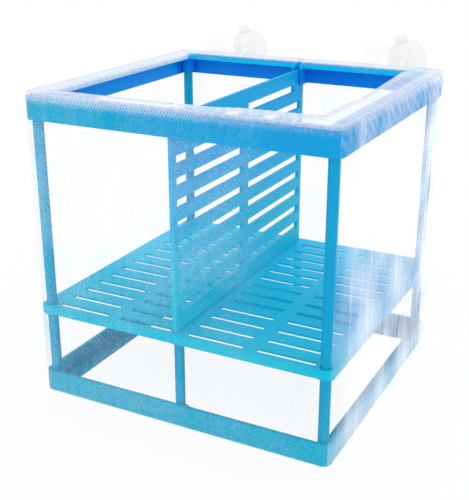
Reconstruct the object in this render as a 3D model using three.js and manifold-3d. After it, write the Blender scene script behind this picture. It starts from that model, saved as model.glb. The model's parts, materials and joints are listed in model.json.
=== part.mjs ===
// Fish breeding box: a plastic frame with a slotted shelf and a lift-out divider, inside a fine net bag.
// Millimetres, +Z up, +X to the right along the front, +Y to the back.
// The origin is under the middle of the bag, on the surface that the box stands on.

import * as THREE from 'three';
import { mergeVertices } from 'three/addons/utils/BufferGeometryUtils.js';
import Module from 'manifold-3d';

const wasm = await Module();
wasm.setup();

// Overall size, outside the net
const boxWidth = 165;
const boxDepth = 156;
const rimHeight = 160;

// Fits
const fit = 0.3;
const overrun = 1;
const sides = 24;

// Net bag
const netThickness = 0.5;
const elasticDiameter = 1.6;
const elasticInset = 1.7;
const elasticCornerRadius = 7;

// Top and bottom frame
const skirtHeight = 11.5;
const skirtThickness = 2;
const flangeWidth = 9;
const flangeThickness = 2.2;
const frameCornerRadius = 4;
const openingCornerRadius = 1.2;
const bossRadius = 4.4;
const bossHeight = 8;
const footHeight = 5.5;
const socketDepth = 6.5;

// Posts
const postDiameter = 5.4;
const centrePostDiameter = 5;
const postInset = 4.6;

// Shelf
const shelfHeight = 50.6;
const shelfThickness = 1.2;
const shelfRimHeight = 4.4;
const shelfRimThickness = 1.6;
const shelfLugHeight = 5;
const shelfSocketDepth = 2;
const shelfSlotWidth = 3.2;
const shelfSlotPitch = 11.5;
const shelfColumnGap = 7;
const shelfCentreGap = 9.2;
const shelfSideMargin = 9.6;
const shelfFrontMargin = 3.8;

// Divider and the guides that it slides in
const dividerX = -1.5;
const dividerThickness = 2.2;
const dividerDrop = 3.2;
const dividerSlotHeight = 4.2;
const dividerSlotLift = 0.8;
const dividerSlotPitch = 10.6;
const dividerEdgeMargin = 3.9;
const dividerTopMargin = 5.7;
const dividerTopSlotCut = 9;
const dividerColumnGap = 6.6;
const dividerEndGap = 0.8;
const guideClearance = 0.4;
const guideRibThickness = 1.8;
const guideRibProud = 1.2;

// Hangers
const hangerThickness = 1.8;
const hookWidth = 10.5;
const hookOuterLeg = 12;
const hookInnerLeg = 4.2;
const hookToCup = 15.5;
const hangerRise = 12;
const hangerArmHeight = 4;
const cupPlateWidth = 14;
const cupStandOff = 5.3;
const cupAboveRim = 2.8;
const neckSlotSqueeze = 0.5;

// Suction cups
const cupRadius = 11.5;
const cupDepth = 8;
const cupHollow = 3.2;
const cupLipWidth = 2;
const cupShoulderRadius = 4;
const neckRadius = 2.1;
const knobRadius = 4;
const knobLength = 4;
const knobEdge = 1;
const tabWidth = 7;
const tabLength = 3;
const tabThickness = 1.4;
const tabTilt = THREE.MathUtils.degToRad(20);
const leftCupInset = 38;
const rightCupInset = 27.3;

// Sizes that follow from the ones above
const wrap = netThickness + fit;
const frameWidth = boxWidth - 2 * wrap;
const frameDepth = boxDepth - 2 * wrap;
const openingWidth = frameWidth - 2 * flangeWidth;
const openingDepth = frameDepth - 2 * flangeWidth;
const postX = frameWidth / 2 - postInset;
const postY = frameDepth / 2 - postInset;
const skirtInsideY = frameDepth / 2 - skirtThickness;
const guideSlotWidth = dividerThickness + 2 * guideClearance;
const dividerDepth = 2 * (skirtInsideY - dividerEndGap);
const cuffBottom = rimHeight + fit;
const cuffTop = cuffBottom + netThickness;
const elasticTop = cuffTop + fit + elasticDiameter;
const hangerFrontY = boxDepth / 2 + fit;
const hangerTop = rimHeight + hangerRise;
const plateFrontY = hangerFrontY + cupStandOff;
const cupHeight = rimHeight + cupAboveRim;

// Colours
const frameBlue = 0x1fa3dc;
const netWhite = 0xeef2fa;
const clearPlastic = 0xe9eef0;

function plasticMaterial() {
  return new THREE.MeshStandardMaterial({ color: frameBlue, roughness: 0.38, metalness: 0 });
}

function netMaterial() {
  return new THREE.MeshStandardMaterial({
    color: netWhite,
    roughness: 0.8,
    metalness: 0,
    transparent: true,
    opacity: 0.2,
    side: THREE.DoubleSide,
  });
}

function elasticMaterial() {
  return new THREE.MeshStandardMaterial({ color: netWhite, roughness: 0.85, metalness: 0 });
}

function clearMaterial() {
  return new THREE.MeshStandardMaterial({
    color: clearPlastic,
    roughness: 0.12,
    metalness: 0,
    transparent: true,
    opacity: 0.35,
  });
}

// Closed geometry to solid and back

function solidOf(geometry) {
  const bare = geometry.clone();
  bare.deleteAttribute('normal');
  bare.deleteAttribute('uv');
  const merged = mergeVertices(bare);
  const vertProperties = new Float32Array(merged.attributes.position.array);
  const triVerts = new Uint32Array(merged.index.array);
  return new wasm.Manifold(new wasm.Mesh({ numProp: 3, vertProperties, triVerts }));
}

function geometryOf(solid) {
  const mesh = solid.getMesh();
  const geometry = new THREE.BufferGeometry();
  geometry.setAttribute('position', new THREE.BufferAttribute(new Float32Array(mesh.vertProperties), 3));
  geometry.setIndex(new THREE.BufferAttribute(new Uint32Array(mesh.triVerts), 1));
  geometry.computeVertexNormals();
  return geometry;
}

function joined(geometries) {
  return geometries.map(solidOf).reduce((whole, piece) => whole.add(piece));
}

function cutFrom(solid, geometries) {
  return geometries.map(solidOf).reduce((whole, piece) => whole.subtract(piece), solid);
}

// Plain shapes

function roundedRectangle(width, depth, radius, outline = new THREE.Shape()) {
  const x = width / 2;
  const y = depth / 2;
  outline.moveTo(-x + radius, -y);
  outline.lineTo(x - radius, -y);
  outline.absarc(x - radius, -y + radius, radius, -Math.PI / 2, 0, false);
  outline.lineTo(x, y - radius);
  outline.absarc(x - radius, y - radius, radius, 0, Math.PI / 2, false);
  outline.lineTo(-x + radius, y);
  outline.absarc(-x + radius, y - radius, radius, Math.PI / 2, Math.PI, false);
  outline.lineTo(-x, -y + radius);
  outline.absarc(-x + radius, -y + radius, radius, Math.PI, 1.5 * Math.PI, false);
  return outline;
}

function extruded(shape, height, bottom) {
  const geometry = new THREE.ExtrudeGeometry(shape, { depth: height, bevelEnabled: false, curveSegments: 5 });
  geometry.translate(0, 0, bottom);
  return geometry;
}

function box(width, depth, height, x, y, bottom) {
  const geometry = new THREE.BoxGeometry(width, depth, height);
  geometry.translate(x, y, bottom + height / 2);
  return geometry;
}

function rod(radius, height, x, y, bottom) {
  const geometry = new THREE.CylinderGeometry(radius, radius, height, sides);
  geometry.rotateX(Math.PI / 2);
  geometry.translate(x, y, bottom + height / 2);
  return geometry;
}

function namedMesh(name, geometry, material) {
  const mesh = new THREE.Mesh(geometry, material);
  mesh.name = name;
  return mesh;
}

const corners = [
  ['front_left', -1, -1],
  ['front_right', 1, -1],
  ['back_left', -1, 1],
  ['back_right', 1, 1],
];

const middles = [
  ['front', -1],
  ['back', 1],
];

// A frame lies with its flange down and its skirt standing up from z = 0.

function frameRing() {
  const skirt = roundedRectangle(frameWidth, frameDepth, frameCornerRadius);
  const insideRadius = frameCornerRadius - skirtThickness;
  skirt.holes.push(
    roundedRectangle(
      frameWidth - 2 * skirtThickness,
      frameDepth - 2 * skirtThickness,
      insideRadius,
      new THREE.Path(),
    ),
  );
  const flange = roundedRectangle(frameWidth, frameDepth, frameCornerRadius);
  flange.holes.push(roundedRectangle(openingWidth, openingDepth, openingCornerRadius, new THREE.Path()));
  return joined([extruded(skirt, skirtHeight, 0), extruded(flange, flangeThickness, 0)]);
}

const bossTop = flangeThickness + bossHeight;
const footTop = flangeThickness + footHeight;

function boss(top, x, y) {
  return rod(bossRadius, top, x, y, 0);
}

function socket(top, diameter, x, y) {
  const bottom = top - socketDepth;
  return rod(diameter / 2 + fit, skirtHeight - bottom + overrun, x, y, bottom);
}

function bottomFrame() {
  const feet = corners.map(([, sx, sy]) => boss(footTop, sx * postX, sy * postY));
  feet.push(...middles.map(([, sy]) => boss(footTop, 0, sy * postY)));
  const sockets = corners.map(([, sx, sy]) => socket(footTop, postDiameter, sx * postX, sy * postY));
  sockets.push(...middles.map(([, sy]) => socket(footTop, centrePostDiameter, 0, sy * postY)));
  const solid = cutFrom(frameRing().add(joined(feet)), sockets);
  const mesh = namedMesh('bottom_frame', geometryOf(solid), plasticMaterial());
  mesh.position.z = wrap;
  return mesh;
}

// Two ribs and the notch between them at the middle of the front or the back

function guideRibs(side) {
  const reach = flangeWidth - skirtThickness / 2 + guideRibProud;
  const offset = guideSlotWidth / 2 + guideRibThickness / 2;
  const y = side * (frameDepth / 2 - skirtThickness / 2 - reach / 2);
  return [-1, 1].map((sx) => box(guideRibThickness, reach, skirtHeight, dividerX + sx * offset, y, 0));
}

function guideNotch(side) {
  const reach = flangeWidth - skirtThickness + guideRibProud + overrun;
  const y = side * (skirtInsideY - reach / 2);
  return box(guideSlotWidth, reach, skirtHeight + 2 * overrun, dividerX, y, -overrun);
}

function topFrame() {
  const additions = corners.map(([, sx, sy]) => boss(bossTop, sx * postX, sy * postY));
  middles.forEach(([, sy]) => additions.push(...guideRibs(sy)));
  const cutters = corners.map(([, sx, sy]) => socket(bossTop, postDiameter, sx * postX, sy * postY));
  middles.forEach(([, sy]) => cutters.push(guideNotch(sy)));
  const solid = cutFrom(frameRing().add(joined(additions)), cutters);
  const mesh = namedMesh('top_frame', geometryOf(solid), plasticMaterial());
  mesh.rotation.x = Math.PI;
  mesh.position.z = rimHeight;
  return mesh;
}

// Posts

function post(name, diameter, x, y, bottom, top) {
  return namedMesh(name, rod(diameter / 2, top - bottom, x, y, bottom), plasticMaterial());
}

function posts() {
  const lowerBottom = wrap + footTop - socketDepth + fit;
  const lowerTop = shelfHeight - shelfLugHeight + shelfSocketDepth - fit;
  const upperBottom = shelfHeight - shelfSocketDepth + fit;
  const upperTop = rimHeight - bossTop + socketDepth - fit;
  const made = [];
  corners.forEach(([where, sx, sy]) => {
    made.push(post(`lower_post_${where}`, postDiameter, sx * postX, sy * postY, lowerBottom, lowerTop));
    made.push(post(`upper_post_${where}`, postDiameter, sx * postX, sy * postY, upperBottom, upperTop));
  });
  middles.forEach(([where, sy]) => {
    made.push(post(`centre_post_${where}`, centrePostDiameter, 0, sy * postY, lowerBottom, lowerTop));
  });
  return made;
}

// Shelf

function shelfSlots() {
  const halfWidth = frameWidth / 2 - shelfSideMargin;
  const slotLength = (halfWidth - shelfCentreGap / 2 - shelfColumnGap) / 2;
  const columnCentres = [(shelfCentreGap + slotLength) / 2, halfWidth - slotLength / 2];
  const firstY = shelfFrontMargin + shelfSlotWidth / 2 - frameDepth / 2;
  const room = frameDepth - 2 * shelfFrontMargin - shelfSlotWidth;
  const rows = Math.floor(room / shelfSlotPitch) + 1;
  const bottom = shelfHeight - shelfThickness - overrun;
  const height = shelfThickness + 2 * overrun;
  const made = [];
  for (let row = 0; row < rows; row += 1) {
    columnCentres.forEach((x) => {
      const y = firstY + row * shelfSlotPitch;
      made.push(box(slotLength, shelfSlotWidth, height, x, y, bottom));
      made.push(box(slotLength, shelfSlotWidth, height, -x, y, bottom));
    });
  }
  return made;
}

function shelf() {
  const outline = roundedRectangle(frameWidth, frameDepth, frameCornerRadius);
  const rim = roundedRectangle(frameWidth, frameDepth, frameCornerRadius);
  rim.holes.push(
    roundedRectangle(
      frameWidth - 2 * shelfRimThickness,
      frameDepth - 2 * shelfRimThickness,
      frameCornerRadius - shelfRimThickness,
      new THREE.Path(),
    ),
  );
  const places = corners.map(([, sx, sy]) => [postDiameter, sx * postX, sy * postY]);
  const centrePlaces = middles.map(([, sy]) => [centrePostDiameter, 0, sy * postY]);
  const lugBottom = shelfHeight - shelfLugHeight;
  const lugs = [...places, ...centrePlaces].map(([, x, y]) => {
    return rod(bossRadius, shelfLugHeight, x, y, lugBottom);
  });
  const solid = joined([
    extruded(outline, shelfThickness, shelfHeight - shelfThickness),
    extruded(rim, shelfRimHeight, shelfHeight - shelfRimHeight),
    ...lugs,
  ]);
  const depth = shelfSocketDepth + overrun;
  const sockets = [...places, ...centrePlaces].map(([diameter, x, y]) => {
    return rod(diameter / 2 + fit, depth, x, y, lugBottom - overrun);
  });
  places.forEach(([diameter, x, y]) => {
    sockets.push(rod(diameter / 2 + fit, depth, x, y, shelfHeight - shelfSocketDepth));
  });
  return namedMesh('shelf', geometryOf(cutFrom(solid, [...shelfSlots(), ...sockets])), plasticMaterial());
}

// Divider

function divider() {
  const bottom = shelfHeight + fit;
  const height = rimHeight - dividerDrop - bottom;
  const slotLength = (dividerDepth - dividerColumnGap) / 2 - dividerEdgeMargin;
  const room = height - 2 * dividerTopMargin - dividerSlotHeight;
  const rows = Math.floor(room / dividerSlotPitch) + 1;
  const rowsHeight = (rows - 1) * dividerSlotPitch + dividerSlotHeight;
  const firstZ = bottom + (height - rowsHeight) / 2 + dividerSlotLift;
  const thickness = dividerThickness + 2 * overrun;
  const slots = [];
  for (let row = 0; row < rows; row += 1) {
    const z = firstZ + row * dividerSlotPitch;
    const length = row === rows - 1 ? slotLength - dividerTopSlotCut : slotLength;
    const centreY = (length + dividerColumnGap) / 2;
    slots.push(box(thickness, length, dividerSlotHeight, dividerX, centreY, z));
    slots.push(box(thickness, length, dividerSlotHeight, dividerX, -centreY, z));
  }
  const panel = solidOf(box(dividerThickness, dividerDepth, height, dividerX, 0, bottom));
  return namedMesh('divider', geometryOf(cutFrom(panel, slots)), plasticMaterial());
}

// Net bag: five flat panels sewn along their edges

function netPanels() {
  const height = rimHeight - wrap;
  const sideDepth = boxDepth - 2 * wrap;
  const frontY = boxDepth / 2 - netThickness / 2;
  const sideX = boxWidth / 2 - netThickness / 2;
  return [
    namedMesh('net_front', box(boxWidth, netThickness, height, 0, -frontY, wrap), netMaterial()),
    namedMesh('net_back', box(boxWidth, netThickness, height, 0, frontY, wrap), netMaterial()),
    namedMesh('net_left', box(netThickness, sideDepth, height, -sideX, 0, wrap), netMaterial()),
    namedMesh('net_right', box(netThickness, sideDepth, height, sideX, 0, wrap), netMaterial()),
    namedMesh('net_bottom', box(boxWidth, boxDepth, netThickness, 0, 0, 0), netMaterial()),
  ];
}

// The cuff is folded in over the rim, and parted where the divider slides.

function netCuff() {
  const outline = roundedRectangle(boxWidth, boxDepth, frameCornerRadius);
  outline.holes.push(roundedRectangle(openingWidth, openingDepth, openingCornerRadius, new THREE.Path()));
  const nicks = middles.map(([, side]) => {
    const reach = skirtInsideY - openingDepth / 2 + overrun;
    const y = side * (skirtInsideY - reach / 2);
    return box(guideSlotWidth, reach, netThickness + 2 * overrun, dividerX, y, cuffBottom - overrun);
  });
  const solid = cutFrom(solidOf(extruded(outline, netThickness, cuffBottom)), nicks);
  return namedMesh('net_cuff', geometryOf(solid), netMaterial());
}

function hemElastic() {
  const half = elasticDiameter / 2;
  const bevel = half / 2;
  const outer = elasticInset - half + bevel;
  const inner = elasticInset + half - bevel;
  const ring = roundedRectangle(boxWidth - 2 * outer, boxDepth - 2 * outer, elasticCornerRadius);
  const hole = roundedRectangle(
    boxWidth - 2 * inner,
    boxDepth - 2 * inner,
    elasticCornerRadius - (inner - outer),
    new THREE.Path(),
  );
  ring.holes.push(hole);
  const geometry = new THREE.ExtrudeGeometry(ring, {
    depth: elasticDiameter - 2 * bevel,
    bevelThickness: bevel,
    bevelSize: bevel,
    bevelSegments: 1,
    curveSegments: 6,
  });
  geometry.translate(0, 0, cuffTop + fit + bevel);
  return namedMesh('hem_elastic', geometry, elasticMaterial());
}

// A hanger hooks over the back rim, and an arm at its top holds the plate for the neck of a cup.

function hook(cupX) {
  const outerY = hangerFrontY + hangerThickness;
  const legY = openingDepth / 2 - fit;
  const bridgeBottom = elasticTop + fit;
  const bridgeTop = bridgeBottom + hangerThickness;
  const profile = new THREE.Shape();
  profile.moveTo(hangerFrontY, bridgeBottom - hookOuterLeg);
  profile.lineTo(outerY, bridgeBottom - hookOuterLeg);
  profile.lineTo(outerY, hangerTop);
  profile.lineTo(hangerFrontY, hangerTop);
  profile.lineTo(hangerFrontY, bridgeTop);
  profile.lineTo(legY - hangerThickness, bridgeTop);
  profile.lineTo(legY - hangerThickness, bridgeBottom - hookInnerLeg);
  profile.lineTo(legY, bridgeBottom - hookInnerLeg);
  profile.lineTo(legY, bridgeBottom);
  profile.lineTo(hangerFrontY, bridgeBottom);
  profile.closePath();
  const geometry = new THREE.ExtrudeGeometry(profile, { depth: hookWidth, bevelEnabled: false });
  geometry.rotateX(Math.PI / 2);
  geometry.rotateZ(Math.PI / 2);
  geometry.translate(cupX - hookToCup - hookWidth / 2, 0, 0);
  return geometry;
}

function cupPlate(cupX) {
  const height = hangerTop - cupHeight + cupPlateWidth / 2;
  const outline = roundedRectangle(cupPlateWidth, height, cupPlateWidth / 3);
  const geometry = extruded(outline, hangerThickness, 0);
  geometry.rotateX(Math.PI / 2);
  geometry.translate(cupX, plateFrontY + hangerThickness, hangerTop - height / 2);
  return geometry;
}

function hanger(name, cupX) {
  const hookRight = cupX - hookToCup + hookWidth / 2;
  const plateY = plateFrontY + hangerThickness / 2;
  const armBottom = hangerTop - hangerArmHeight;
  const armLength = cupX - hookRight + hangerThickness;
  const arm = box(armLength, hangerThickness, hangerArmHeight, cupX - armLength / 2, plateY, armBottom);
  const stepDepth = cupStandOff + hangerThickness;
  const stepX = hookRight - hangerThickness / 2;
  const stepY = hangerFrontY + stepDepth / 2;
  const step = box(hangerThickness, stepDepth, hangerArmHeight, stepX, stepY, armBottom);
  const reach = hangerThickness + 2 * overrun;
  const hole = new THREE.CylinderGeometry(neckRadius + fit, neckRadius + fit, reach, sides);
  hole.translate(cupX, plateY, cupHeight);
  const slotWidth = 2 * (neckRadius + fit) - neckSlotSqueeze;
  const slot = box(slotWidth, reach, hangerTop - cupHeight + overrun, cupX, plateY, cupHeight);
  const solid = cutFrom(joined([hook(cupX), step, arm, cupPlate(cupX)]), [hole, slot]);
  return namedMesh(name, geometryOf(solid), clearMaterial());
}

// A suction cup is turned about the line of its neck, with the knob towards the box.

function suctionCup(name, cupX) {
  const knobStart = -hangerThickness - 2 * fit;
  const knobEnd = knobStart - knobLength;
  const profile = [
    [0, knobEnd],
    [knobRadius - knobEdge, knobEnd],
    [knobRadius, knobEnd + knobEdge],
    [knobRadius, knobStart - knobEdge],
    [knobRadius - knobEdge, knobStart],
    [neckRadius, knobStart],
    [neckRadius, 0],
    [cupShoulderRadius, 0],
    [(cupShoulderRadius + cupRadius) / 2, cupDepth / 3],
    [cupRadius - cupLipWidth / 2, cupDepth - cupLipWidth],
    [cupRadius, cupDepth - cupLipWidth / 2],
    [cupRadius, cupDepth],
    [cupRadius - cupLipWidth, cupDepth],
    [cupRadius / 2, cupDepth - cupHollow + cupHollow / 4],
    [0, cupDepth - cupHollow],
  ];
  const turned = new THREE.LatheGeometry(profile.map(([r, along]) => new THREE.Vector2(r, along)), sides);
  const tab = new THREE.BoxGeometry(tabWidth, tabThickness, tabLength + cupLipWidth);
  tab.translate(0, cupDepth - tabThickness, cupRadius - cupLipWidth + (tabLength + cupLipWidth) / 2);
  tab.rotateY(-tabTilt);
  const solid = joined([turned, tab]);
  const mesh = namedMesh(name, geometryOf(solid), clearMaterial());
  mesh.position.set(cupX, plateFrontY + hangerThickness + fit, cupHeight);
  return mesh;
}

const group = new THREE.Group();
group.add(topFrame(), bottomFrame(), shelf(), divider(), ...posts());
group.add(...netPanels(), netCuff(), hemElastic());

const leftCupX = -boxWidth / 2 + leftCupInset;
const rightCupX = boxWidth / 2 - rightCupInset;
group.add(hanger('hanger_left', leftCupX), hanger('hanger_right', rightCupX));
group.add(suctionCup('suction_cup_left', leftCupX), suctionCup('suction_cup_right', rightCupX));

export default group;
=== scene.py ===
import json
import math

import bmesh
import bpy
from mathutils import Matrix, Vector, noise

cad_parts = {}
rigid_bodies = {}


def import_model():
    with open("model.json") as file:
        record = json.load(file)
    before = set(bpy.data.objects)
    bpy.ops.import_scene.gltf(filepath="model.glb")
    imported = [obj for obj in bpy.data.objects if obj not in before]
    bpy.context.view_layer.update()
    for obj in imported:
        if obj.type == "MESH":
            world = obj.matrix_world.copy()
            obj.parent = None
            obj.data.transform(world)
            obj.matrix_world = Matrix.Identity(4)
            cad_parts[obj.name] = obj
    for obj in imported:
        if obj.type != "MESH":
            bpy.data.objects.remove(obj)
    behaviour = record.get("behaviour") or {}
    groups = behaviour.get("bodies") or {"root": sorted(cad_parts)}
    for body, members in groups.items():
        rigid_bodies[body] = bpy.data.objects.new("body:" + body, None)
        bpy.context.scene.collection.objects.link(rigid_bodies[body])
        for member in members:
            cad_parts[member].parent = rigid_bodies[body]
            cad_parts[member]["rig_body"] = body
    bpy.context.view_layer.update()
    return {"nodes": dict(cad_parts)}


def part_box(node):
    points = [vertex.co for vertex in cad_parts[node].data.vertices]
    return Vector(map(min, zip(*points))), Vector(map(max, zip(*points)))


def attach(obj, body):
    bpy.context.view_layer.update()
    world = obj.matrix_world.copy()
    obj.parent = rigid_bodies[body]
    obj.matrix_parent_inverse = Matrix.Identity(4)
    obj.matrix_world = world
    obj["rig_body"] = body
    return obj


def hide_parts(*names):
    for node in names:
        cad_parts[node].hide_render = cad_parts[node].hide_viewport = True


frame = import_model()
mm = 0.001

# A fish breeding box: a blue plastic frame in a net bag, hung on two suction cups.
# +X is to the right along the front, +Y to the back, and the box stands on z = 0.


# Small tools


def linear(red, green, blue):
    def channel(value):
        share = value / 255
        return share / 12.92 if share <= 0.04045 else ((share + 0.055) / 1.055) ** 2.4

    return (channel(red), channel(green), channel(blue), 1.0)


def smoothStep(value, low, high):
    share = min(1.0, max(0.0, (value - low) / (high - low)))
    return share * share * (3 - 2 * share)


def ripple(x, y, size, seed):
    return noise.noise(Vector((x / size[0], y / size[1], seed)))


def valueAlong(places, where):
    for (start, first), (end, second) in zip(places, places[1:]):
        if where <= end:
            return first + (second - first) * smoothStep(where, start, end)
    return places[-1][1]


# Shader maths: a wire stands for one output, and an expression on wires adds its Math nodes.


class Wire:
    def __init__(self, finish, socket):
        self.finish = finish
        self.socket = socket

    def maths(self, operation, first, second=0.0):
        return self.finish.add("ShaderNodeMath", {"operation": operation}, {0: first, 1: second})

    def __add__(self, other):
        return self.maths("ADD", self, other)

    def __radd__(self, other):
        return self.maths("ADD", other, self)

    def __sub__(self, other):
        return self.maths("SUBTRACT", self, other)

    def __rsub__(self, other):
        return self.maths("SUBTRACT", other, self)

    def __mul__(self, other):
        return self.maths("MULTIPLY", self, other)

    def __rmul__(self, other):
        return self.maths("MULTIPLY", other, self)

    def __pow__(self, other):
        return self.maths("POWER", self, other)

    def cosine(self):
        return self.maths("COSINE", self)

    def size(self):
        return self.maths("ABSOLUTE", self)

    def under(self, limit):
        return self.maths("LESS_THAN", self, limit)

    def atMost(self, other):
        return self.maths("MINIMUM", self, other)

    def atLeast(self, other):
        return self.maths("MAXIMUM", self, other)

    def fade(self, low, high):
        return self.finish.add(
            "ShaderNodeMapRange",
            {"interpolation_type": "SMOOTHSTEP"},
            {"Value": self, "From Min": low, "From Max": high},
        )


class Finish:
    def __init__(self, name):
        self.material = bpy.data.materials.new(name)
        self.material.use_nodes = True
        self.tree = self.material.node_tree
        self.tree.nodes.clear()

    def add(self, kind, settings=None, inputs=None, output=0):
        made = self.tree.nodes.new(kind)
        for key, value in (settings or {}).items():
            setattr(made, key, value)
        for key, value in (inputs or {}).items():
            if isinstance(value, Wire):
                self.tree.links.new(value.socket, made.inputs[key])
            else:
                made.inputs[key].default_value = value
        return Wire(self, made.outputs[output]) if made.outputs else None

    def places(self):
        return self.add("ShaderNodeTexCoord", output="Object")

    def attribute(self, name, output="Fac"):
        return self.add("ShaderNodeAttribute", {"attribute_name": name}, output=output)

    def axes(self, vector):
        split = self.add("ShaderNodeSeparateXYZ", inputs={0: vector})
        node = split.socket.node
        return [Wire(self, node.outputs[index]) for index in range(3)]

    # the settings give a grain as its scale, with its detail, roughness and distortion where needed
    def grain(self, vector, scale, detail=2.0, roughness=0.5, distortion=0.0):
        return self.add(
            "ShaderNodeTexNoise",
            inputs={
                "Vector": vector,
                "Scale": scale,
                "Detail": detail,
                "Roughness": roughness,
                "Distortion": distortion,
            },
        )

    def mixed(self, share, first, second):
        return self.add(
            "ShaderNodeMix", {"data_type": "RGBA"}, {0: share, 6: first, 7: second}, output=2
        )

    def bump(self, height, strength, distance):
        return self.add(
            "ShaderNodeBump", inputs={"Height": height, "Strength": strength, "Distance": distance}
        )

    def surface(self, inputs):
        shader = self.add("ShaderNodeBsdfPrincipled", inputs=inputs)
        self.add("ShaderNodeOutputMaterial", inputs={"Surface": shader})
        return self.material


# Camera, light and floor

cameraSettings = {
    "place": (0.2058, -0.4108, 0.2444),
    "yaw": 27.40,
    "pitch": -20.90,
    "lens": 64.67,
    "sensor": 36.0,
    "nearest": 0.01,
}

lightSettings = {
    "world": 0.92,
    "sunStrength": 0.5,
    "sunSoftness": 60,
    "sunTilt": (42, 6, 34),
    "floorHalf": 6,
    "floorShadow": 0.12,
    "floorGrain": 3.0,
    "floorTones": (linear(246, 247, 248), linear(252, 252, 252)),
}


def placeCamera(settings):
    data = bpy.data.cameras.new("photographCamera")
    data.lens = settings["lens"]
    data.sensor_width = settings["sensor"]
    data.clip_start = settings["nearest"]
    camera = bpy.data.objects.new("photographCamera", data)
    bpy.context.scene.collection.objects.link(camera)
    turn = Matrix.Rotation(math.radians(settings["yaw"]), 4, "Z")
    tilt = Matrix.Rotation(math.radians(90 + settings["pitch"]), 4, "X")
    camera.matrix_world = Matrix.Translation(settings["place"]) @ turn @ tilt
    bpy.context.scene.camera = camera


def seenDirectly(finish):
    path = finish.add("ShaderNodeLightPath")
    outputs = path.socket.node.outputs
    seen = Wire(finish, outputs["Is Camera Ray"])
    for name in ("Is Glossy Ray", "Is Transmission Ray"):
        seen = seen.atLeast(Wire(finish, outputs[name]))
    return seen


class WorldFinish(Finish):
    def __init__(self, name):
        self.world = bpy.data.worlds.new(name)
        self.world.use_nodes = True
        self.tree = self.world.node_tree
        self.tree.nodes.clear()


def lightStudio(settings):
    sky = WorldFinish("paleStudio")
    strength = seenDirectly(sky) * (1 - settings["world"]) + settings["world"]
    white = sky.add("ShaderNodeBackground", inputs={"Color": (1, 1, 1, 1), "Strength": strength})
    sky.add("ShaderNodeOutputWorld", inputs={"Surface": white})
    bpy.context.scene.world = sky.world
    data = bpy.data.lights.new("softSun", "SUN")
    data.energy = settings["sunStrength"]
    data.angle = math.radians(settings["sunSoftness"])
    sun = bpy.data.objects.new("softSun", data)
    sun.rotation_euler = [math.radians(angle) for angle in settings["sunTilt"]]
    bpy.context.scene.collection.objects.link(sun)


def layFloor(settings):
    form = bmesh.new()
    bmesh.ops.create_grid(form, x_segments=1, y_segments=1, size=settings["floorHalf"])
    mesh = bpy.data.meshes.new("floor")
    form.to_mesh(mesh)
    form.free()
    floor = bpy.data.objects.new("floor", mesh)
    bpy.context.scene.collection.objects.link(floor)
    finish = Finish("paleFloor")
    grain = finish.grain(finish.places(), settings["floorGrain"])
    colour = finish.mixed(grain, *settings["floorTones"])
    lit = finish.add("ShaderNodeBsdfDiffuse", inputs={"Color": colour})
    glow = finish.add("ShaderNodeEmission", inputs={"Color": (1, 1, 1, 1), "Strength": 1.0})
    share = seenDirectly(finish) * (1 - settings["floorShadow"])
    both = finish.add("ShaderNodeMixShader", inputs={0: share, 1: lit, 2: glow})
    finish.add("ShaderNodeOutputMaterial", inputs={"Surface": both})
    mesh.materials.append(finish.material)


placeCamera(cameraSettings)
lightStudio(lightSettings)
layFloor(lightSettings)
print("camera, light and floor are in place")


# Blue plastic: teal at the left and below, bluer at the right. Painted light and shade: a lit flange edge
# over a shaded deeper blue skirt inside the rim, and a lighter shelf and divider foot

plasticSettings = {
    "left": linear(0, 166, 207),
    "right": linear(0, 153, 219),
    "low": linear(0, 160, 194),
    "bottom": linear(0, 174, 203),
    "pale": linear(26, 184, 226),
    # the shelf's tones are painted lighter than the frame: painted light for light let through the plastic,
    # lightest at the back
    "shelfFrontLit": linear(0, 188, 217),
    "shelfBackLit": linear(0, 204, 240),
    "shelfRight": linear(0, 168, 222),
    # the divider's foot is painted lighter: painted light for light let through the plastic
    "dividerLowLit": linear(0, 194, 222),
    "dividerHigh": linear(0, 168, 224),
    # painted light and shade inside the rim: the flange's inner edge is painted lighter as lit from above,
    # and the recess under it a deeper blue as shade, darkest at the back
    "litFlangeEdge": linear(0, 158, 238),
    "litFlangeEdgeBack": linear(0, 198, 248),
    "deep": linear(0, 160, 242),
    "recessShadeBack": linear(0, 130, 232),
    "leftToRight": (-80 * mm, 80 * mm),
    "highToLow": (100 * mm, 20 * mm),
    "lowShare": 0.7,
    "insideX": 80.0 * mm,
    "insideY": 75.6 * mm,
    "flangeThickness": 2.2 * mm,
    "edgeAbove": 0.4 * mm,
    "edgeBelow": 0.6 * mm,
    "towardsBackRim": (60 * mm, 66 * mm),
    "shelfFrontToBack": (-80 * mm, 60 * mm),
    "shelfToRight": (20 * mm, 75 * mm),
    "shelfFrontToMiddle": (-75 * mm, 0.0),
    "postShare": 0.5,
    "bottomShare": 0.75,
    "dividerLowToHigh": (60 * mm, 140 * mm),
    "cloudGrain": (38.0, 3.0),
    "fineGrain": (900.0, 2.0),
    "cloudFade": (0.35, 0.75),
    "cloudShare": 0.22,
    "roughness": 0.36,
    "fineRoughness": 0.08,
    "cloudRoughness": 0.06,
    "cloudDepth": 0.5,
    "bump": 0.05,
    "bumpDepth": 0.2 * mm,
    "ior": 1.5,
    "specular": 0.1,
}

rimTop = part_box("top_frame")[1].z


def frameTone(finish, x, y, z):
    colour = finish.mixed(
        x.fade(*plasticSettings["leftToRight"]), plasticSettings["left"], plasticSettings["right"]
    )
    low = z.fade(*plasticSettings["highToLow"]) * plasticSettings["lowShare"]
    return finish.mixed(low, colour, plasticSettings["low"])


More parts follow.
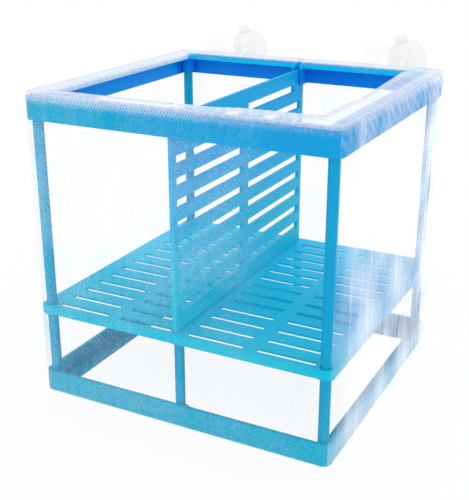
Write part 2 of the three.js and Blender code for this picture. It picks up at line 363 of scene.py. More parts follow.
# Inside the rim the flange edge gets a painted lit tone, and the skirt below it painted shade in a deeper
# blue.
def rimLitAndShadedTone(finish, x, y, z):
    inside = x.size().under(plasticSettings["insideX"]) * y.size().under(plasticSettings["insideY"])
    edge = rimTop - plasticSettings["flangeThickness"]
    below = z.fade(edge + plasticSettings["edgeAbove"], edge - plasticSettings["edgeBelow"])
    back = y.fade(*plasticSettings["towardsBackRim"])
    lit = finish.mixed(back, plasticSettings["litFlangeEdge"], plasticSettings["litFlangeEdgeBack"])
    deep = finish.mixed(back, plasticSettings["deep"], plasticSettings["recessShadeBack"])
    inner = finish.mixed(below, lit, deep)
    return finish.mixed(inside, frameTone(finish, x, y, z), inner)


# The shelf: painted light, lighter towards the back, and bluer at the right front.
def shelfLitTone(finish, x, y, z):
    back = y.fade(*plasticSettings["shelfFrontToBack"])
    colour = finish.mixed(back, plasticSettings["shelfFrontLit"], plasticSettings["shelfBackLit"])
    right = x.fade(*plasticSettings["shelfToRight"]) * y.fade(*plasticSettings["shelfFrontToMiddle"])
    return finish.mixed(right, colour, plasticSettings["shelfRight"])


def postTone(finish, x, y, z):
    colour = frameTone(finish, x, y, z)
    return finish.mixed(plasticSettings["postShare"], colour, plasticSettings["low"])


def bottomTone(finish, x, y, z):
    colour = frameTone(finish, x, y, z)
    return finish.mixed(plasticSettings["bottomShare"], colour, plasticSettings["bottom"])


# The divider: painted light, lighter towards its foot.
def dividerLitTone(finish, x, y, z):
    high = z.fade(*plasticSettings["dividerLowToHigh"])
    return finish.mixed(high, plasticSettings["dividerLowLit"], plasticSettings["dividerHigh"])


def bluePlastic(name, tone, settings=plasticSettings):
    finish = Finish(name)
    places = finish.places()
    x, y, z = finish.axes(places)
    cloudy = finish.grain(places, *settings["cloudGrain"])
    fine = finish.grain(places, *settings["fineGrain"])
    patches = cloudy.fade(*settings["cloudFade"]) * settings["cloudShare"]
    unevenness = fine * settings["fineRoughness"] + cloudy * settings["cloudRoughness"]
    relief = fine + cloudy * settings["cloudDepth"]
    return finish.surface(
        {
            "Base Color": finish.mixed(patches, tone(finish, x, y, z), settings["pale"]),
            "Roughness": unevenness + settings["roughness"],
            "Normal": finish.bump(relief, settings["bump"], settings["bumpDepth"]),
            "IOR": settings["ior"],
            "Specular IOR Level": settings["specular"],
        }
    )


def newPiece(name, form, material):
    mesh = bpy.data.meshes.new(name)
    form.to_mesh(mesh)
    form.free()
    for face in mesh.polygons:
        face.use_smooth = True
    mesh.materials.append(material)
    piece = bpy.data.objects.new(name, mesh)
    bpy.context.scene.collection.objects.link(piece)
    return piece


# The mouldings are copies of the frame's own pieces, with their edges rounded as they leave the mould.

mouldSettings = {
    "mergeWithin": 0.01 * mm,
    "flatWithin": math.radians(1.5),
    "sharpOver": math.radians(40),
    "edgeRadius": 0.35 * mm,
    "edgeSegments": 2,
    "flatWeight": 80,
}


def mergedCopy(node):
    form = bmesh.new()
    form.from_mesh(frame["nodes"][node].data)
    bmesh.ops.remove_doubles(form, verts=form.verts, dist=mouldSettings["mergeWithin"])
    return form


def mouldedPiece(name, node, material, edgeRadius=mouldSettings["edgeRadius"]):
    settings = mouldSettings
    form = mergedCopy(node)
    bmesh.ops.dissolve_limit(
        form, angle_limit=settings["flatWithin"], verts=form.verts, edges=form.edges
    )
    bmesh.ops.dissolve_degenerate(form, dist=settings["mergeWithin"], edges=form.edges)
    sharp = [
        edge
        for edge in form.edges
        if len(edge.link_faces) == 2 and edge.calc_face_angle() > settings["sharpOver"]
    ]
    bmesh.ops.bevel(
        form,
        geom=sharp,
        offset=edgeRadius,
        affect="EDGES",
        segments=settings["edgeSegments"],
        profile=0.5,
        material=-1,
        clamp_overlap=True,
        harden_normals=False,
    )
    piece = newPiece(name, form, material)
    weighted = piece.modifiers.new("flatFaces", "WEIGHTED_NORMAL")
    weighted.weight = settings["flatWeight"]
    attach(piece, frame["nodes"][node]["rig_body"])
    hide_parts(node)


bottomBlue = bluePlastic("bluePlasticBottom", bottomTone)
postBlue = bluePlastic("bluePlasticPost", postTone)
rimLitAndShadedBlue = bluePlastic("bluePlasticRimLitAndShaded", rimLitAndShadedTone)
shelfLitBlue = bluePlastic("bluePlasticShelfLit", shelfLitTone)
dividerLitBlue = bluePlastic("bluePlasticDividerLit", dividerLitTone)

mouldedPiece("topFrameMoulding", "top_frame", rimLitAndShadedBlue)
mouldedPiece("bottomFrameMoulding", "bottom_frame", bottomBlue)
mouldedPiece("slottedShelf", "shelf", shelfLitBlue)
mouldedPiece("slottedDivider", "divider", dividerLitBlue)
for nodeName in sorted(frame["nodes"]):
    if "_post_" in nodeName:
        mouldedPiece(nodeName + "_rod", nodeName, postBlue)
print("plastic mouldings are made")


# Net bag: five panels of fine net, the walls turned in over the rim

netSettings = {
    "sheet": 0.25 * mm,
    "cornerRadius": 5.0 * mm,
    "leastRadius": 0.8 * mm,
    "rimRadius": 1.1 * mm,
    "turnedIn": 8.6 * mm,
    "columnPitch": 1.1 * mm,
    "rowPitch": 1.4 * mm,
    "cornerFade": 8 * mm,
    "weaveStretch": 0.9,
    "weaveWidening": 0.6,
    "nickHalf": 1.9 * mm,
    "nickInset": 2.7 * mm,
    "nickDepth": 0.2 * mm,
    "bandHeight": 11.5 * mm,
    "shelfEdge": 2 * mm,
}

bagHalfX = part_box("net_right")[1].x - netSettings["sheet"]
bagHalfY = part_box("net_back")[1].y - netSettings["sheet"]
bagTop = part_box("net_cuff")[1].z - netSettings["sheet"]
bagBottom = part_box("net_bottom")[0].z + netSettings["sheet"]
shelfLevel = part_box("shelf")[1].z - netSettings["shelfEdge"]
dividerMiddle = (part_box("divider")[0].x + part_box("divider")[1].x) / 2


# The threads cross at a steep angle. Where the net is dense they mat together to a haze.

threadSettings = {
    "pitch": 1.26 * mm,
    "lean": math.radians(60),
    "wobble": 0.6 * mm,
    "wobbleGrains": (90.0, 70.0),
    "unevenGrain": (1050.0, 1.0),
    "unevenFade": (0.34, 0.66),
    "unevenShare": 1.8,
    "streakGrain": (380.0, 3.0, 0.6),
    "streakStretch": (1, 0.05, 1),
    "streakShare": 1.1,
    "markGrain": (170.0, 4.0, 0.65, 1.2),
    "markFade": (0.6, 0.72),
    "markShare": 0.2,
    "toneGrain": 60.0,
    "densest": 0.97,
    "widening": 0.35,
    "crispness": 9.0,
    "edgeRise": 10.0,
    "edgeAlpha": 0.5,
    "mattedOver": 0.14,
    "mattedRise": 3.0,
    "mostMatted": 0.8,
    "hazeRise": 5.0,
    "roughness": 0.6,
    "specular": 0.1,
}


def crossedThreads(finish, weave, places, settings):
    across, upward = finish.axes(weave)[:2]
    first, second = settings["wobbleGrains"]
    across = across + finish.grain(places, first) * settings["wobble"]
    upward = upward + finish.grain(places, second) * settings["wobble"]
    turn = math.pi / settings["pitch"]
    steep = across * (turn * math.sin(settings["lean"]))
    shallow = upward * (turn * math.cos(settings["lean"]))
    return (steep + shallow).cosine().size().atMost((steep - shallow).cosine().size())


def netFinish(name, colour, shaded, glow, softest, settings=threadSettings):
    finish = Finish(name)
    weave = finish.attribute("weave", "Vector")
    cover = finish.attribute("cover")
    slack = finish.attribute("slack")
    places = finish.places()
    nearest = crossedThreads(finish, weave, places, settings)
    pulled = finish.add(
        "ShaderNodeVectorMath", {"operation": "MULTIPLY"}, {0: weave, 1: settings["streakStretch"]}
    )
    streaks = finish.grain(pulled, *settings["streakGrain"]) - 0.5
    marks = finish.grain(places, *settings["markGrain"]).fade(*settings["markFade"])
    mottle = finish.grain(places, *settings["unevenGrain"]).fade(*settings["unevenFade"]) - 0.5
    thin = cover * (1 - cover) ** 4 * (settings["unevenShare"] * (1 - softest))
    dense = cover + slack * (streaks * settings["streakShare"] + marks * settings["markShare"])
    dense = (dense + thin * mottle).atLeast(0.0).atMost(settings["densest"])
    halfThread = dense * (dense * settings["widening"] + (1 - settings["widening"]))
    edge = (dense * settings["edgeRise"]).atMost(1.0) * settings["edgeAlpha"]
    threads = (halfThread - nearest) * settings["crispness"] + edge
    matted = (dense - settings["mattedOver"]) * settings["mattedRise"]
    matted = matted.atLeast(0.0).atMost(settings["mostMatted"])
    haze = (dense * settings["hazeRise"]).atMost(softest).atLeast(matted)
    tone = finish.mixed(finish.grain(places, settings["toneGrain"]), colour, shaded)
    # The threads glow a little in their own tone: painted light for light scattered through the thin
    # threads.
    return finish.surface(
        {
            "Base Color": tone,
            "Roughness": settings["roughness"],
            "Alpha": threads.atLeast(0.0).atMost(1.0) * (1 - haze) + dense * haze,
            "Specular IOR Level": settings["specular"],
            "Emission Color": tone,
            "Emission Strength": glow,
        }
    )


def netLayers(form):
    weave = form.verts.layers.float_vector.new("weave")
    cover = form.verts.layers.float.new("cover")
    slack = form.verts.layers.float.new("slack")
    return weave, cover, slack


# A side of the bag is 0 at the front, 1 at the right, 2 at the back and 3 at the left.


def sideHalves(side):
    return (bagHalfX, bagHalfY) if side % 2 == 0 else (bagHalfY, bagHalfX)


def ringPlace(side, run, inset):
    half, out = sideHalves(side)
    radius = netSettings["cornerRadius"]
    straight = half - radius
    tighter = max(radius - inset, netSettings["leastRadius"])
    middle = half - inset - tighter
    if abs(run) <= straight:
        place = Vector((run / straight * middle, inset - out, 0))
        outward = Vector((0, -1, 0))
    else:
        angle = (abs(run) - straight) / radius
        sign = 1 if run > 0 else -1
        outward = Vector((sign * math.sin(angle), -math.cos(angle), 0))
        place = Vector((sign * middle, inset + tighter - out, 0)) + outward * tighter
    turn = Matrix.Rotation(math.radians(90 * side), 3, "Z")
    return turn @ place, turn @ outward


def halfRun(side):
    return sideHalves(side)[0] - netSettings["cornerRadius"] * (1 - math.pi / 4)


wallHeight = bagTop - netSettings["rimRadius"] - bagBottom
turnLength = netSettings["rimRadius"] * math.pi / 2
wallLength = wallHeight + turnLength + netSettings["turnedIn"] - netSettings["rimRadius"]


def wallPlace(side, run, upward):
    radius = netSettings["rimRadius"]
    if upward <= wallHeight:
        inset, height, lift = 0.0, bagBottom + upward, 0.0
    elif upward <= wallHeight + turnLength:
        lift = (upward - wallHeight) / radius
        inset = radius * (1 - math.cos(lift))
        height = bagBottom + wallHeight + radius * math.sin(lift)
    else:
        lift = math.pi / 2
        inset = radius + upward - wallHeight - turnLength
        height = bagTop
    place, outward = ringPlace(side, run, inset)
    place.z = height
    normal = outward * math.cos(lift) + Vector((0, 0, math.sin(lift)))
    return place, normal


# How each wall hangs: a list gives values at places along the side in metres,
# and cover is the share that the threads hide.

wallSettings = [
    {
        "name": "Front",
        "node": "net_front",
        "cover": [(-0.082, 0.065), (-0.03, 0.05), (0.03, 0.035), (0.082, 0.012)],
        "openCover": [(-0.082, 0.05), (-0.03, 0.04), (0.02, 0.05), (0.05, 0.01), (0.082, 0.0)],
        "slack": [(-0.082, 0.1), (0.0, 0.07), (0.082, 0.0)],
        "loose": [(-0.082, 0.2), (0.082, 0.0)],
        "billow": 0.5 * mm,
        "hang": 0.0,
        "foldEvery": 21 * mm,
        "foldDepth": 0.4 * mm,
        "foldCover": 0.0,
        "gatherEvery": 5.2 * mm,
        "gatherLean": 0.25,
        "gatherDepth": 0.4 * mm,
        "gatherCover": 0.03,
        "gatherSharpness": 4,
        "gatherReach": 12 * mm,
        "rimCover": [(-0.082, 0.3), (-0.01, 0.26), (0.05, 0.1), (0.082, 0.08)],
        "footCover": 0.035,
        "footReach": 75 * mm,
        "footDepth": 0.0,
        "bandCover": 0.0,
        "seed": 1.0,
    },
    {
        "name": "Right",
        "node": "net_right",
        "cover": [(-0.078, 0.08), (-0.064, 0.16), (-0.054, 0.38), (0.05, 0.4), (0.062, 0.6), (0.078, 0.64)],
        "openCover": [(-0.078, 0.0), (0.078, 0.0)],
        "slack": [(-0.078, 0.1), (-0.06, 0.42), (0.05, 0.5), (0.062, 0.8), (0.078, 0.8)],
        "loose": [(-0.078, 0.1), (-0.03, 0.5), (0.045, 0.7), (0.062, 1.3), (0.078, 1.1)],
        "billow": 0.7 * mm,
        "hang": -0.6 * mm,
        "foldEvery": 6.2 * mm,
        "foldDepth": 1.2 * mm,
        "foldCover": 0.14,
        "gatherEvery": 8.0 * mm,
        "gatherLean": -1.15,
        "gatherDepth": 1.3 * mm,
        "gatherCover": 0.3,
        "gatherSharpness": 7,
        "gatherReach": 22 * mm,
        "rimCover": [(-0.078, 0.1), (0.078, 0.24)],
        "footCover": 0.12,
        "footReach": 18 * mm,
        "footDepth": 0.9 * mm,
        "bandCover": -0.35,
        "seed": 3.0,
    },
    {
        "name": "Back",
        "node": "net_back",
        "cover": [(-0.082, 0.4), (-0.06, 0.09), (0.06, 0.09), (0.082, 0.3)],
        "openCover": [(-0.082, 0.0), (0.082, 0.0)],
        "slack": [(-0.082, 0.6), (-0.06, 0.12), (0.06, 0.15), (0.082, 0.6)],
        "loose": [(-0.082, 1.2), (-0.06, 0.7), (0.06, 0.5), (0.082, 0.9)],
        "billow": 0.7 * mm,
        "hang": -0.3 * mm,
        "foldEvery": 7.4 * mm,
        "foldDepth": 1.0 * mm,
        "foldCover": 0.06,
        "gatherEvery": 7.0 * mm,
        "gatherLean": 0.35,
        "gatherDepth": 0.8 * mm,
        "gatherCover": 0.2,
        "gatherSharpness": 4,
        "gatherReach": 18 * mm,
        "rimCover": [(-0.082, 0.45), (0.082, 0.45)],
        "footCover": 0.1,
        "footReach": 18 * mm,
        "footDepth": 0.6 * mm,
        "bandCover": 0.0,
        "seed": 8.0,
    },
    {
        "name": "Left",
        "node": "net_left",
        "cover": [(-0.078, 0.08), (0.06, 0.1), (0.078, 0.42)],
        "openCover": [(-0.078, 0.0), (0.078, 0.0)],
        "slack": [(-0.078, 0.1), (0.06, 0.15), (0.078, 0.5)],
        "loose": [(-0.078, 0.4), (0.06, 0.4), (0.078, 0.8)],
        "billow": 0.6 * mm,
        "hang": 0.9 * mm,
        "foldEvery": 9.0 * mm,
        "foldDepth": 0.8 * mm,
        "foldCover": 0.08,
        "gatherEvery": 8.0 * mm,
        "gatherLean": 0.3,
        "gatherDepth": 0.7 * mm,
        "gatherCover": 0.2,
        "gatherSharpness": 4,
        "gatherReach": 16 * mm,
        "rimCover": [(-0.078, 0.5), (0.078, 0.5)],
        "footCover": 0.05,
        "footReach": 18 * mm,
        "footDepth": 0.4 * mm,
        "bandCover": 0.0,
        "seed": 11.0,
    },
]

hangSettings = {
    "bandFade": 22 * mm,
    "bandEdge": 1 * mm,
    "foldWander": 1.1,
    "foldRipple": (30 * mm, 70 * mm),
    "billowRipple": (45 * mm, 80 * mm),
    "shelfFade": (3 * mm, 20 * mm),
    "mostInward": 1.7 * mm,
    "inwardAtShelf": 0.3 * mm,
    "rimStop": 3 * mm,
    "pleatWander": 0.8,
    "pleatRipple": (20 * mm, 40 * mm),
    "gatherRipple": (14 * mm, 1.0),
    "leastGather": 0.45,
    "gatherSpread": 1.1,
    "tautGather": 0.35,
    "gatherMiddle": 0.15,
    "flankMiddle": 0.4,
    "footFade": (8 * mm, 24 * mm),
    "footStart": 6 * mm,
    "openFade": 45 * mm,
    "patchShare": 0.7,
    "patchRipple": (22 * mm, 22 * mm),
    "turnedBelow": 2.8 * mm,
    "turnedAbove": 0.5 * mm,
    "seamShare": 0.2,
    "seamFade": (0.4 * mm, 1.6 * mm),
}


def fold(phase, sharpness):
    return (0.5 + 0.5 * math.cos(2 * math.pi * phase)) ** sharpness


def flank(phase):
    return abs(math.sin(2 * math.pi * phase))


def freeShare(upward):
    band, fade = netSettings["bandHeight"], hangSettings["bandFade"]
    low = smoothStep(upward, band, band + fade)
    high = 1 - smoothStep(upward, wallHeight - band - fade, wallHeight - band)
    return low * high


def foldPhase(wall, run, upward):
    wander = ripple(run, upward, hangSettings["foldRipple"], wall["seed"])
    return run / wall["foldEvery"] + hangSettings["foldWander"] * wander


def gatherAt(wall, run, upward):
    rim = smoothStep(upward, wallHeight - wall["gatherReach"], wallHeight - hangSettings["rimStop"])
    lean = run - wall["gatherLean"] * (upward - wallHeight)
    wander = ripple(run, upward, hangSettings["pleatRipple"], wall["seed"] + 2)
    pleat = lean / wall["gatherEvery"] + hangSettings["pleatWander"] * wander
    swell = abs(ripple(run, 0.3, hangSettings["gatherRipple"], wall["seed"] + 4))
    uneven = hangSettings["leastGather"] + hangSettings["gatherSpread"] * swell
    return rim, fold(pleat, wall["gatherSharpness"]) * uneven


def outwardAt(wall, run, upward):
    loose = valueAlong(wall["loose"], run)
    free = freeShare(upward)
    phase = foldPhase(wall, run, upward)
    billow = wall["billow"] * ripple(run, upward, hangSettings["billowRipple"], wall["seed"] + 1)
    out = free * (wall["hang"] + billow) + wall["foldDepth"] * loose * free * fold(phase, 2)
    carried = 1 - smoothStep(abs(bagBottom + upward - shelfLevel), *hangSettings["shelfFade"])
    most = hangSettings["mostInward"]
    out = max(out, carried * (most - hangSettings["inwardAtShelf"]) - most)
    rim, gather = gatherAt(wall, run, upward)
    taut = hangSettings["tautGather"]
    out += wall["gatherDepth"] * rim * gather * (taut + (1 - taut) * min(loose, 1.0))
    foot = 1 - smoothStep(upward, *hangSettings["footFade"])
    return out + wall["footDepth"] * foot * fold(phase, 3) * min(loose, 1.0)


def coverAt(wall, run, upward):
    loose = valueAlong(wall["loose"], run)
    deep = loose * freeShare(upward)
    phase = foldPhase(wall, run, upward)
    cover = valueAlong(wall["cover"], run)
    cover += wall["foldCover"] * deep * (flank(phase) - hangSettings["flankMiddle"])
    bandFoot, edge = wallHeight - netSettings["bandHeight"], hangSettings["bandEdge"]
    band = smoothStep(upward, bandFoot - edge, bandFoot + edge)
    cover *= 1 + wall["bandCover"] * band
    above = smoothStep(bagBottom + upward, shelfLevel, shelfLevel + hangSettings["openFade"])
    cover += valueAlong(wall["openCover"], run) * above * (1 - band)
    patch = ripple(run, upward, hangSettings["patchRipple"], wall["seed"] + 6)
    cover *= 1 + hangSettings["patchShare"] * patch
    rim, gather = gatherAt(wall, run, upward)
    gathered = rim * (gather - hangSettings["gatherMiddle"])
    cover += wall["gatherCover"] * gathered * min(1.0, loose + hangSettings["tautGather"])
    turnedFrom = wallHeight - hangSettings["turnedBelow"]
    turned = smoothStep(upward, turnedFrom, wallHeight + hangSettings["turnedAbove"])
    cover += valueAlong(wall["rimCover"], run) * turned
    cover += wall["footCover"] * (1 - smoothStep(upward, hangSettings["footStart"], wall["footReach"]))
    seam = hangSettings["seamShare"] * (1 - smoothStep(upward, *hangSettings["seamFade"]))
    return max(cover + seam, 0.0)


def partForDivider(form):
    limit = bagHalfY - netSettings["nickInset"]
    parted = []
    for face in form.faces:
        middle = face.calc_center_median()
        over = middle.z > bagTop - netSettings["nickDepth"] and abs(middle.y) < limit
        if over and abs(middle.x - dividerMiddle) < netSettings["nickHalf"]:
            parted.append(face)
    bmesh.ops.delete(form, geom=parted, context="FACES")


def bagWall(side, material):
    wall = wallSettings[side]
    reach = halfRun(side)
    form = bmesh.new()
    columns = round(2 * reach / netSettings["columnPitch"])
    rows = round(wallLength / netSettings["rowPitch"])
    bmesh.ops.create_grid(form, x_segments=columns, y_segments=rows, size=0.5)
    weave, cover, slack = netLayers(form)
    for vert in form.verts:
        run = vert.co.x * 2 * reach
        upward = (vert.co.y + 0.5) * wallLength
        place, normal = wallPlace(side, run, upward)
        free = smoothStep(reach - abs(run), 0.0, netSettings["cornerFade"])
        vert.co = place + normal * outwardAt(wall, run, upward) * free
        across = netSettings["weaveStretch"] * run + netSettings["weaveWidening"] * run * run
        vert[weave] = Vector((across, netSettings["weaveStretch"] * upward, 0))
        vert[cover] = coverAt(wall, run, upward)
        vert[slack] = valueAlong(wall["slack"], run)
    partForDivider(form)
    piece = newPiece("netBag" + wall["name"], form, material)
    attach(piece, "box")
    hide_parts(wall["node"])
    2 * reach


netWhite = linear(244, 246, 255), linear(252, 253, 255)
tautNet = netFinish("tautNet", *netWhite, 0.27, 0.5)
looseNet = netFinish("looseNet", *netWhite, 0.22, 0.85)
for side in range(4):
    bagWall(side, looseNet if side else tautNet)
print("net walls are hung")


floorSettings = {
    "columns": 80,
    "rows": 76,
    "rise": 0.25 * mm,
    "riseFade": 20 * mm,
    "ripple": (30 * mm, 30 * mm),
    "seed": 15.0,
    "cover": 0.06,
    "slack": 0.1,
}


def roundedCorner(x, y):
    radius = netSettings["cornerRadius"]
    straightX, straightY = bagHalfX - radius, bagHalfY - radius
    beyond = Vector((max(abs(x) - straightX, 0.0), max(abs(y) - straightY, 0.0)))
    if beyond.x > 0 and beyond.y > 0:
        shrink = max(beyond.x, beyond.y) / beyond.length
        x = math.copysign(straightX + beyond.x * shrink, x)
        y = math.copysign(straightY + beyond.y * shrink, y)
    return x, y


def bagFloor(material, settings=floorSettings):
    form = bmesh.new()
    bmesh.ops.create_grid(
        form, x_segments=settings["columns"], y_segments=settings["rows"], size=0.5
    )
    weave, cover, slack = netLayers(form)
    for vert in form.verts:
        x, y = roundedCorner(vert.co.x * 2 * bagHalfX, vert.co.y * 2 * bagHalfY)
        inner = smoothStep(min(bagHalfX - abs(x), bagHalfY - abs(y)), 0.0, settings["riseFade"])
        lifted = max(0.0, ripple(x, y, settings["ripple"], settings["seed"]))
        vert.co = Vector((x, y, bagBottom + settings["rise"] * inner * lifted))
        vert[weave] = Vector((x, y, 0))
        vert[cover] = settings["cover"]
        vert[slack] = settings["slack"]
    piece = newPiece("netBagFloor", form, material)
    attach(piece, "box")
    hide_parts("net_bottom")


bagFloor(looseNet)
print("net floor is sewn in")


# The gathered hem lies on the rim over the elastic, and is puffed up at the opening.
# Its height, reach and droop are given at shares of the way round from the front left corner.
# Its section runs from the outer edge over the elastic in lengths, and on to the opening in
# shares of the reach and of the height, with a lift and the share of the droop.

hemSettings = {
    "columns": 560,
    "rows": 26,
    "height": [
        (0.0, 1.4 * mm),
        (0.15, 1.6 * mm),
        (0.19, 2.8 * mm),
        (0.275, 3.4 * mm),
        (0.34, 2.0 * mm),
        (0.395, 3.5 * mm),
        (0.44, 4.9 * mm),
        (0.475, 4.3 * mm),
        (0.53, 1.2 * mm),
        (0.77, 1.2 * mm),
        (1.0, 1.4 * mm),
    ],
    "reach": [
        (0.0, 10.6 * mm),
        (0.02, 10.0 * mm),
        (0.23, 10.0 * mm),
        (0.275, 13.4 * mm),
        (0.48, 13.4 * mm),
        (0.52, 9.4 * mm),
        (0.74, 9.4 * mm),
        (0.757, 7.8 * mm),
        (0.775, 11.4 * mm),
        (0.98, 11.4 * mm),
        (1.0, 10.6 * mm),
    ],
    "droop": [
        (0.0, 1.0 * mm),
        (0.02, 0.0),
        (0.74, 0.0),
        (0.775, 2.2 * mm),
        (0.98, 2.2 * mm),
        (1.0, 1.0 * mm),
    ],
    "overElastic": [
        (0.0, -0.5 * mm),
        (0.7 * mm, 1.2 * mm),
        (2.1 * mm, 1.2 * mm),
        (4.2 * mm, 1.0 * mm),
    ],
    "toOpening": [
        (0.6, 0.5, 0.5 * mm, 0.0),
        (0.84, 0.98, 0.0, 0.0),
        (1.0, 0.8, 0.0, 0.4),
        (0.98, 0.25, 0.0, 1.0),
    ],
    "lift": 0.3 * mm,
    "ruffleEvery": 4.6 * mm,
    "ruffleWander": 1.4,
    "ruffleRipple": (0.25, 0.25),
    "ruffleHeight": 0.015,
    "softHeight": 0.05,
    "softRipple": (9 * mm, 9 * mm),
    "leastPuff": 0.6 * mm,
    "ruffleInward": 0.05 * mm,
    "softInward": 0.15 * mm,
    "looseFade": (0.3, 0.7),
    "seed": 20.0,
    "gatherShare": 1.15,
    "weaveWidth": 24 * mm,
    "streakRipple": (2.2 * mm, 0.5),
    "coverOutside": 0.36,
    "coverInside": [0.7, 0.58, 0.84, 0.84],
    "coverFade": (0.05, 0.5),
    "ruffleCover": 0.03,
    "streakCover": 0.1,
    "slack": 0.5,
    "mergeWithin": 0.02 * mm,
}


def hemSection(share, puff, reach, droop):
    points = list(hemSettings["overElastic"])
    for inward, upward, lift, drop in hemSettings["toOpening"]:
        points.append((reach * inward, puff * upward + lift - droop * drop))
    position = share * (len(points) - 1)
    index = min(int(position), len(points) - 2)
    rest = position - index
    before = Vector(points[max(index - 1, 0)])
    first, second = Vector(points[index]), Vector(points[index + 1])
    after = Vector(points[min(index + 2, len(points) - 1)])
    square, cube = rest * rest, rest * rest * rest
    # a smooth curve through all the points
    return 0.5 * (
        2 * first
        + (second - before) * rest
        + (2 * before - 5 * first + 4 * second - after) * square
        + (3 * first - before - 3 * second + after) * cube
    )


def sideAround(around, runs):
    side, start = 0, 0.0
    while side < 3 and around > start + runs[side]:
        start += runs[side]
        side += 1
    return side, around - start - runs[side] / 2


def hemCover(side, share, wave, streak):
    settings = hemSettings
    rise = settings["coverInside"][side] - settings["coverOutside"]
    covered = settings["coverOutside"] + rise * smoothStep(share, *settings["coverFade"])
    return covered + settings["ruffleCover"] * wave + settings["streakCover"] * streak


def gatheredHem(material, settings=hemSettings):
    form = bmesh.new()
    bmesh.ops.create_grid(
        form, x_segments=settings["columns"], y_segments=settings["rows"], size=0.5
    )
    weave, cover, slack = netLayers(form)
    runs = [2 * halfRun(side) for side in range(4)]
    total = sum(runs)
    for vert in form.verts:
        around = (vert.co.x + 0.5) * total
        share = vert.co.y + 0.5
        side, run = sideAround(around, runs)
        puff, reach, droop = [
            valueAlong(settings[key], around / total) for key in ("height", "reach", "droop")
        ]
        inset, height = hemSection(share, puff, reach, droop)
        place, outward = ringPlace(side, run, inset)
        angle = 2 * math.pi * around / total
        seed = settings["seed"]
        wander = ripple(math.cos(angle), math.sin(angle), settings["ruffleRipple"], seed)
        phase = around / settings["ruffleEvery"] + settings["ruffleWander"] * wander
        wave = math.cos(2 * math.pi * phase)
        soft = ripple(place.x, place.y, settings["softRipple"], seed + 1)
        loose = smoothStep(share, *settings["looseFade"])
        ruffled = settings["ruffleHeight"] * wave + settings["softHeight"] * soft
        height += (puff + settings["leastPuff"]) * ruffled * loose
        inward = settings["ruffleInward"] * wave + settings["softInward"] * soft
        vert.co = place - outward * inward * loose
        vert.co.z = bagTop + settings["lift"] + height
        vert[weave] = Vector((around * settings["gatherShare"], share * settings["weaveWidth"], 0))
        streak = ripple(around, share, settings["streakRipple"], seed + 2)
        vert[cover] = hemCover(side, share, wave, streak)
        vert[slack] = settings["slack"]
    partForDivider(form)
    bmesh.ops.remove_doubles(form, verts=form.verts, dist=settings["mergeWithin"])
    piece = newPiece("gatheredHem", form, material)
    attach(piece, "box")
    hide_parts("net_cuff")


# The hem's whites are painted darker and bluer than the walls' threads: painted shade on the puffed hem.
gatheredHem(netFinish("gatheredNetShaded", linear(218, 232, 242), linear(237, 241, 248), 0.06, 0.95))
print("hem is gathered")


# Clear hangers and suction cups

clearSettings = {
    "grain": 160.0,
    "tones": (linear(186, 194, 192), linear(214, 219, 220)),
    "roughnessShare": 0.06,
    "coverShare": 0.02,
    "specular": 0.3,
}

hangerSettings = {
    "cover": 0.03,
    "roughness": 0.15,
    "edgeRadius": 0.25 * mm,
}

cupSettings = {
    "cover": 0.09,
    "knobCover": 0.03,
    "knobEnd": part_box("suction_cup_left")[1].y - 8.2 * mm,
    "roughness": 0.22,
    "steps": 48,
    "radius": 11.5 * mm,
    "depth": 8.0 * mm,
    "bell": [(0.53, 0.13), (0.7, 0.34), (0.84, 0.58)],
    "hollow": 3.2 * mm,
    "hollowShares": [(0.7, 0.5), (0.4, 0.85)],
    "lip": 2.0 * mm,
    "shoulder": 4.0 * mm,
    "neck": 2.1 * mm,
    "neckLength": 2.4 * mm,
    "knob": 4.0 * mm,
    "knobLength": 4.0 * mm,
    "knobEdge": 1.0 * mm,
    "knobCorner": 0.3,
    "tabHalf": 3.5 * mm,
    "tabLength": 3.0 * mm,
    "tabThickness": 1.4 * mm,
    "tabRound": 1.2 * mm,
    "tabSegments": 4,
    "tabLean": math.radians(20),
}


def clearPlastic(name, settings):
    finish = Finish(name)
    places = finish.places()
    cloudy = finish.grain(places, clearSettings["grain"])
    cover = (cloudy - 0.5) * clearSettings["coverShare"] + settings["cover"]
    if "knobEnd" in settings:
        knob = finish.axes(places)[1].under(settings["knobEnd"])
        cover = cover - knob * (settings["cover"] - settings["knobCover"])
    return finish.surface(
        {
            "Base Color": finish.mixed(cloudy, *clearSettings["tones"]),
            "Roughness": cloudy * clearSettings["roughnessShare"] + settings["roughness"],
            "Alpha": cover,
            "Specular IOR Level": clearSettings["specular"],
        }
    )


def cupOutline(settings):
    rounding, corner, lip = settings["knobEdge"], settings["knobCorner"], settings["lip"]
    radius, depth, hollow = settings["radius"], settings["depth"], settings["hollow"]
    knob, neckEnd = settings["knob"], -settings["neckLength"]
    knobEnd = neckEnd - settings["knobLength"]
    outline = [
        (0.0, knobEnd),
        (knob - rounding, knobEnd),
        (knob - rounding * corner, knobEnd + rounding * corner),
        (knob, knobEnd + rounding),
        (knob, neckEnd - rounding),
        (knob - rounding * corner, neckEnd - rounding * corner),
        (knob - rounding, neckEnd),
        (settings["neck"], neckEnd),
        (settings["neck"], 0.0),
        (settings["shoulder"], 0.0),
    ]
    outline += [(radius * out, depth * along) for out, along in settings["bell"]]
    outline += [
        (radius - lip / 2, depth - lip),
        (radius, depth - lip / 2),
        (radius, depth),
        (radius - lip, depth),
    ]
    outline += [(radius * out, depth - hollow * deep) for out, deep in settings["hollowShares"]]
    return outline + [(0.0, depth - hollow)]


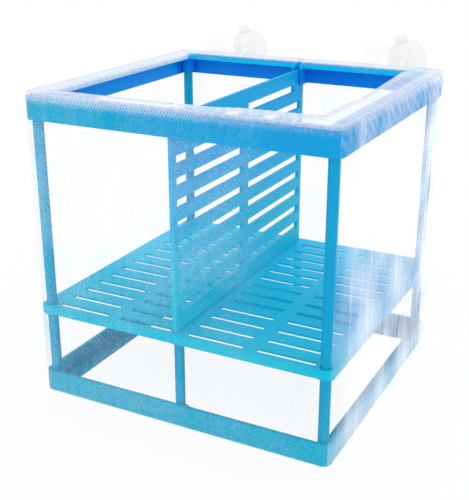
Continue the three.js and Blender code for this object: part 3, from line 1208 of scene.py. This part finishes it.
def pullTab(form, settings):
    radius, depth, lip = settings["radius"], settings["depth"], settings["lip"]
    thick, reach = settings["tabThickness"], settings["tabLength"] + lip
    tab = bmesh.ops.create_cube(form, size=1.0)["verts"]
    bmesh.ops.scale(form, vec=(2 * settings["tabHalf"], thick, reach), verts=tab)
    place = Vector((0, depth - thick, radius - lip + reach / 2))
    bmesh.ops.translate(form, vec=place, verts=tab)
    upper = []
    for edge in form.edges:
        first, second = edge.verts
        flat = abs(first.co.x - second.co.x) < mouldSettings["mergeWithin"]
        if first in tab and flat and min(first.co.z, second.co.z) > radius:
            upper.append(edge)
    rounded = bmesh.ops.bevel(
        form,
        geom=upper,
        offset=settings["tabRound"],
        affect="EDGES",
        segments=settings["tabSegments"],
        profile=0.5,
        material=-1,
    )
    outer = list(dict.fromkeys(vert for vert in tab + rounded["verts"] if vert.is_valid))
    lean = Matrix.Rotation(settings["tabLean"], 3, "Y").inverted()
    bmesh.ops.rotate(form, cent=(0, 0, 0), matrix=lean, verts=outer)


def suctionCup(name, node, material, settings=cupSettings):
    low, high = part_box(node)
    radius, depth = settings["radius"], settings["depth"]
    form = bmesh.new()
    verts = [form.verts.new((out, along, 0.0)) for out, along in cupOutline(settings)]
    edges = [form.edges.new(pair) for pair in zip(verts, verts[1:])]
    bmesh.ops.spin(
        form,
        geom=verts + edges,
        cent=(0, 0, 0),
        axis=(0, 1, 0),
        angle=2 * math.pi,
        steps=settings["steps"],
        use_merge=True,
    )
    bmesh.ops.remove_doubles(form, verts=form.verts, dist=mouldSettings["mergeWithin"])
    bmesh.ops.recalc_face_normals(form, faces=form.faces)
    pullTab(form, settings)
    middle = Vector((low.x + radius, high.y - depth, low.z + radius))
    bmesh.ops.translate(form, vec=middle, verts=form.verts)
    piece = newPiece(name, form, material)
    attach(piece, frame["nodes"][node]["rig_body"])
    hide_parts(node)


clearHard = clearPlastic("clearPlastic", hangerSettings)
clearSoft = clearPlastic("clearVinyl", cupSettings)

for node in ("hanger_left", "hanger_right"):
    mouldedPiece(node + "_hook", node, clearHard, hangerSettings["edgeRadius"])
for node in ("suction_cup_left", "suction_cup_right"):
    suctionCup(node + "_disc", node, clearSoft)
print("clear hangers and cups are made")


# The elastic is a flat braid, which lies in the outer fold of the hem.

elasticSettings = {
    "flatness": 0.5,
    "grain": 700.0,
    "tones": (linear(236, 240, 250), linear(247, 248, 254)),
    "roughness": 0.7,
    "alpha": 0.4,
    "bump": 0.4,
    "bumpDepth": 0.3 * mm,
}


def braidedElastic(settings):
    finish = Finish("whiteElastic")
    braid = finish.grain(finish.places(), settings["grain"], 3.0)
    material = finish.surface(
        {
            "Base Color": finish.mixed(braid, *settings["tones"]),
            "Roughness": settings["roughness"],
            "Alpha": settings["alpha"],
            "Normal": finish.bump(braid, settings["bump"], settings["bumpDepth"]),
        }
    )
    form = mergedCopy("hem_elastic")
    under = Matrix.Translation((0, 0, -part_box("hem_elastic")[0].z))
    bmesh.ops.scale(form, vec=(1, 1, settings["flatness"]), space=under, verts=form.verts)
    piece = newPiece("hemElasticBraid", form, material)
    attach(piece, "box")
    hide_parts("hem_elastic")


braidedElastic(elasticSettings)
print("elastic is threaded in")

scene = bpy.context.scene
scene.view_settings.view_transform = "Standard"
scene.cycles.transparent_max_bounces = 24  # the net lies in many see-through layers
